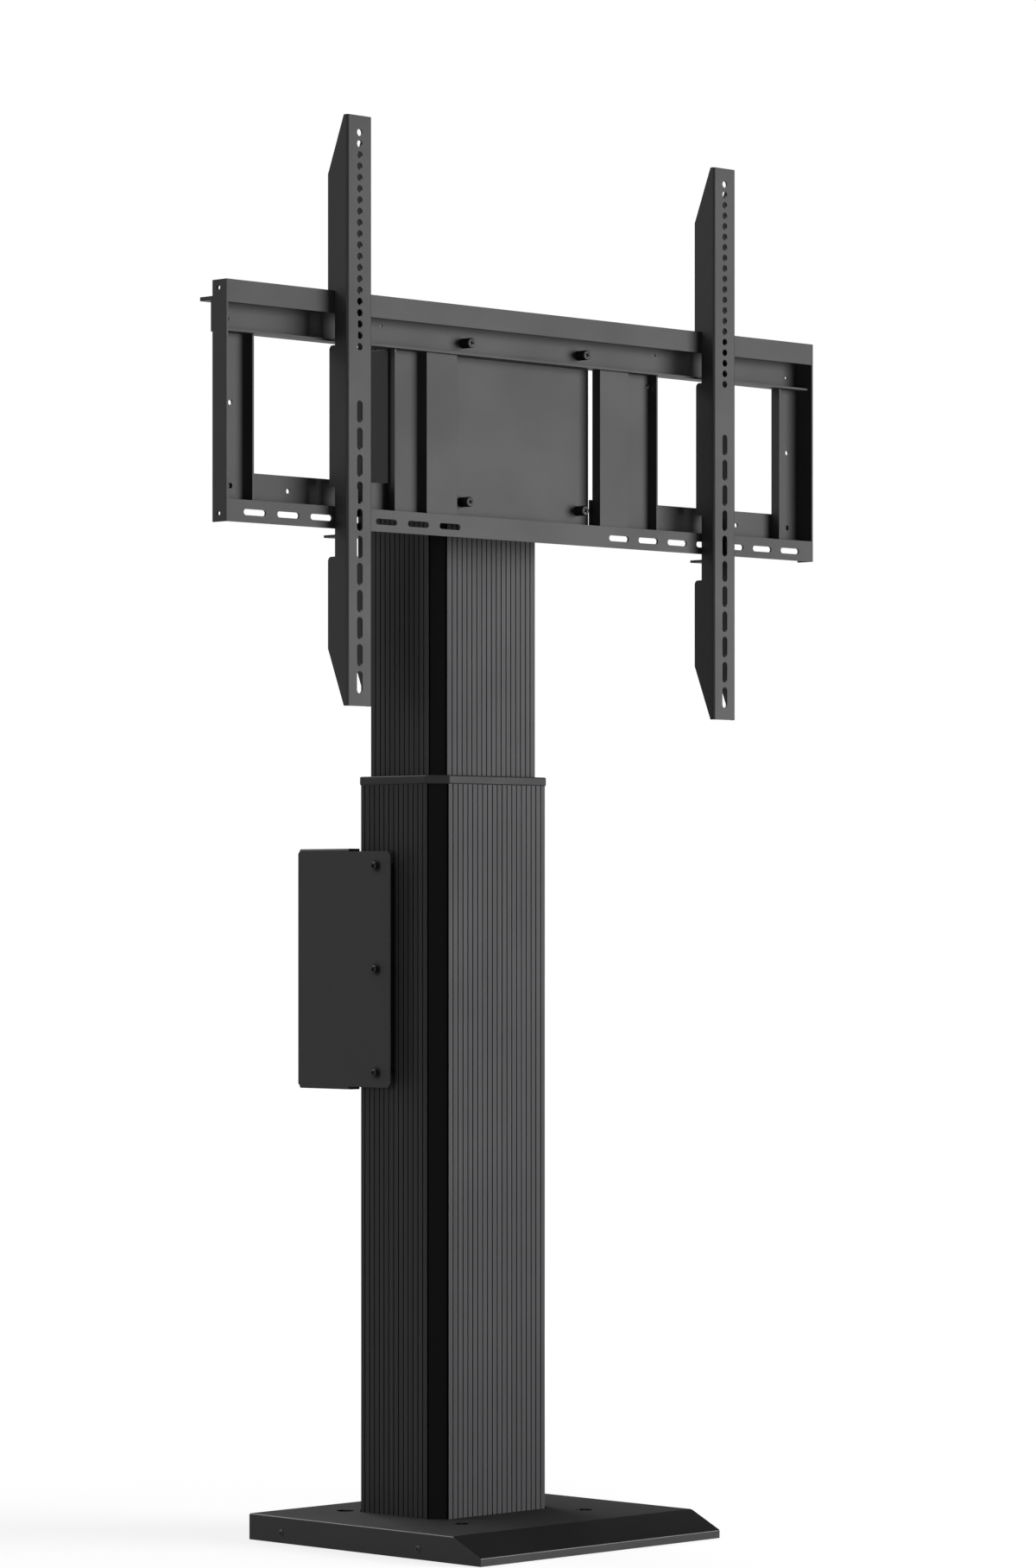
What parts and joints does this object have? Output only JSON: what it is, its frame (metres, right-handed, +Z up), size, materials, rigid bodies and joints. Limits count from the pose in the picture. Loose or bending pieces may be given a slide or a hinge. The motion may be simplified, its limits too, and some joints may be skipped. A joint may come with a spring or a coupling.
{
  "type": "motorized display lift stand",
  "caption": "Black floor stand with a motorized telescopic column that raises a hanging frame and two hooked display rails",
  "frame": {"origin": "Centre of the base's underside, on the floor", "axes": "+Z up along the column, -Y to the front where the display hangs, +X to the right seen from the front"},
  "size_m": [0.962, 0.38, 1.612],
  "materials": {
    "powder_black": "satin powder coat",
    "anodised_black": "black anodised, satin",
    "plastic_black": "fine grain",
    "screw_black": "black zinc",
    "steel": "turned",
    "mill_aluminium": "mill finish",
    "brass": "machined"
  },
  "bodies": {
    "stand": {"base_plate": "powder_black", "base_cover": "powder_black", "base_cover_screws": "screw_black", "anchor_bushes": "plastic_black", "column_foot": "mill_aluminium", "column_foot_bolts": "steel", "column_side_screws": "steel", "outer_column": "anodised_black", "outer_collar": "plastic_black", "upper_glides": "plastic_black", "gear_housing": "plastic_black", "drive_motor": "steel", "motor_end_cap": "plastic_black", "spindle_bearing": "steel", "control_cover": "powder_black", "control_cover_spacers": "powder_black", "control_cover_screws": "screw_black", "control_unit": "plastic_black", "control_unit_lid": "plastic_black", "mains_inlet": "plastic_black"},
    "spindle": {"spindle": "steel"},
    "lift": {"inner_column": "anodised_black", "lower_glides": "plastic_black", "inner_column_bottom_plate": "mill_aluminium", "spindle_nut": "brass", "inner_column_top_plug": "mill_aluminium", "head_cap": "powder_black", "head_cap_bolts": "screw_black", "head_bracket": "powder_black", "frame_top_rail": "powder_black", "frame_bottom_rail": "powder_black", "frame_left_end_post": "powder_black", "frame_right_end_post": "powder_black", "frame_left_inner_post": "powder_black", "frame_right_inner_post": "powder_black", "frame_left_stiffener": "powder_black", "frame_right_stiffener": "powder_black", "frame_centre_plate": "powder_black", "frame_screws": "screw_black"},
    "left_rail": {"left_rail": "powder_black", "left_lock_tab": "powder_black"},
    "right_rail": {"right_rail": "powder_black", "right_lock_tab": "powder_black"}
  },
  "joints": [
    {"name": "lift_slide", "type": "slide", "parent": "stand", "child": "lift", "axis": [0, 0, 1], "range_m": [-0.5, 0]},
    {"name": "spindle_turn", "type": "hinge", "parent": "stand", "child": "spindle", "pos_m": [0, 0.052, 0.064], "axis": [0, 0, 1], "range_deg": [-18100, 100]},
    {"name": "left_rail_slide", "type": "slide", "parent": "lift", "child": "left_rail", "axis": [1, 0, 0], "range_m": [-0.095, 0.05]},
    {"name": "right_rail_slide", "type": "slide", "parent": "lift", "child": "right_rail", "axis": [1, 0, 0], "range_m": [-0.05, 0.095]}
  ],
  "couplings": [
    {"joint": "spindle_turn", "follows": "lift_slide", "rad_per_m": 628.32}
  ]
}
